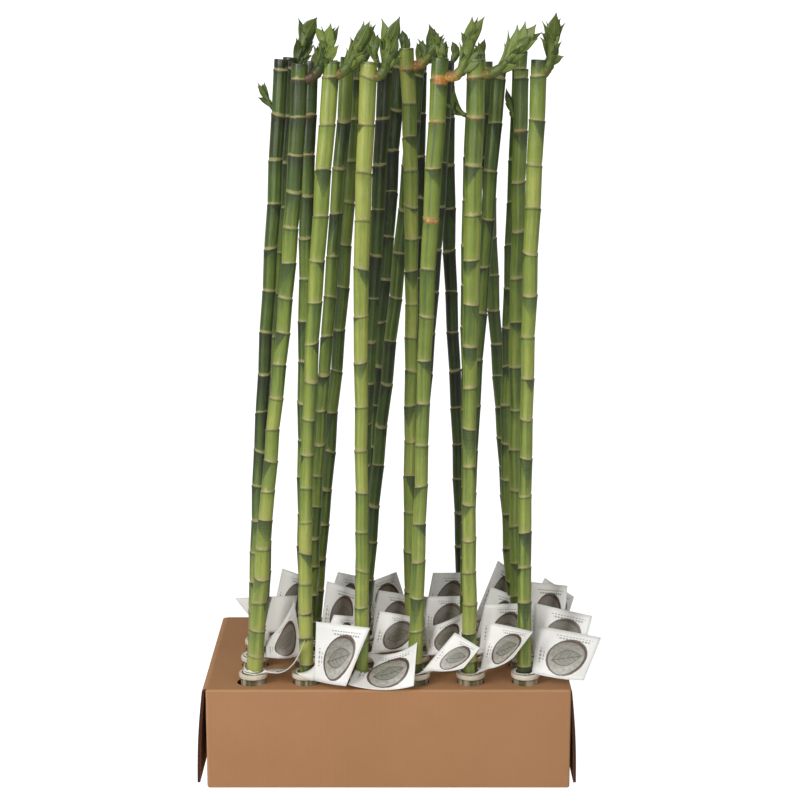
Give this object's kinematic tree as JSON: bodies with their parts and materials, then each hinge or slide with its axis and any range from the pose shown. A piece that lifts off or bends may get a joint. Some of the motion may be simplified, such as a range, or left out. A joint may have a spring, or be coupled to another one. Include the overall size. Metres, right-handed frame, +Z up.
{
  "type": "lucky bamboo",
  "caption": "Tall cut canes with fresh shoots at their tops, each standing in a collared glass tube held upright by a hole in the top of a low carton, with plain tags.",
  "frame": {"origin": "middle of the carton's base, on the surface that it stands on", "axes": "+Z up along the canes, the carton's long front faces -Y, +X to the right"},
  "size_m": [0.4454, 0.2748, 0.838],
  "materials": {
    "carton": "plain brown corrugated board, matt",
    "tube": "clear greenish glass with a satin cream collar",
    "cane": "fresh green stem, satin with soft highlights",
    "tag": "coated off-white card"
  },
  "bodies": {
    "root": {"carton": "carton", "tube_1_1": "tube", "cane_1_1": "cane", "tube_1_2": "tube", "cane_1_2": "cane", "tube_1_3": "tube", "cane_1_3": "cane", "tube_1_4": "tube", "cane_1_4": "cane", "tube_2_1": "tube", "cane_2_1": "cane", "tube_2_2": "tube", "cane_2_2": "cane", "tube_2_3": "tube", "cane_2_3": "cane", "tube_2_4": "tube", "cane_2_4": "cane", "tube_3_1": "tube", "cane_3_1": "cane", "tube_3_2": "tube", "cane_3_2": "cane", "tube_3_3": "tube", "cane_3_3": "cane", "tube_3_4": "tube", "cane_3_4": "cane", "tube_4_1": "tube", "cane_4_1": "cane", "tube_4_2": "tube", "cane_4_2": "cane", "tube_4_3": "tube", "cane_4_3": "cane", "tube_4_4": "tube", "cane_4_4": "cane", "tube_5_1": "tube", "cane_5_1": "cane", "tube_5_2": "tube", "cane_5_2": "cane", "tube_5_3": "tube", "cane_5_3": "cane", "tube_5_4": "tube", "cane_5_4": "cane", "tube_6_1": "tube", "cane_6_1": "cane", "tube_6_2": "tube", "cane_6_2": "cane", "tube_6_3": "tube", "cane_6_3": "cane", "tube_6_4": "tube", "cane_6_4": "cane", "tag_1_1": "tag", "tag_2_1": "tag", "tag_3_1": "tag", "tag_4_1": "tag", "tag_5_1": "tag", "tag_6_1": "tag", "tag_1_2": "tag", "tag_3_2": "tag", "tag_4_2": "tag", "tag_5_2": "tag", "tag_6_2": "tag"}
  },
  "joints": []
}
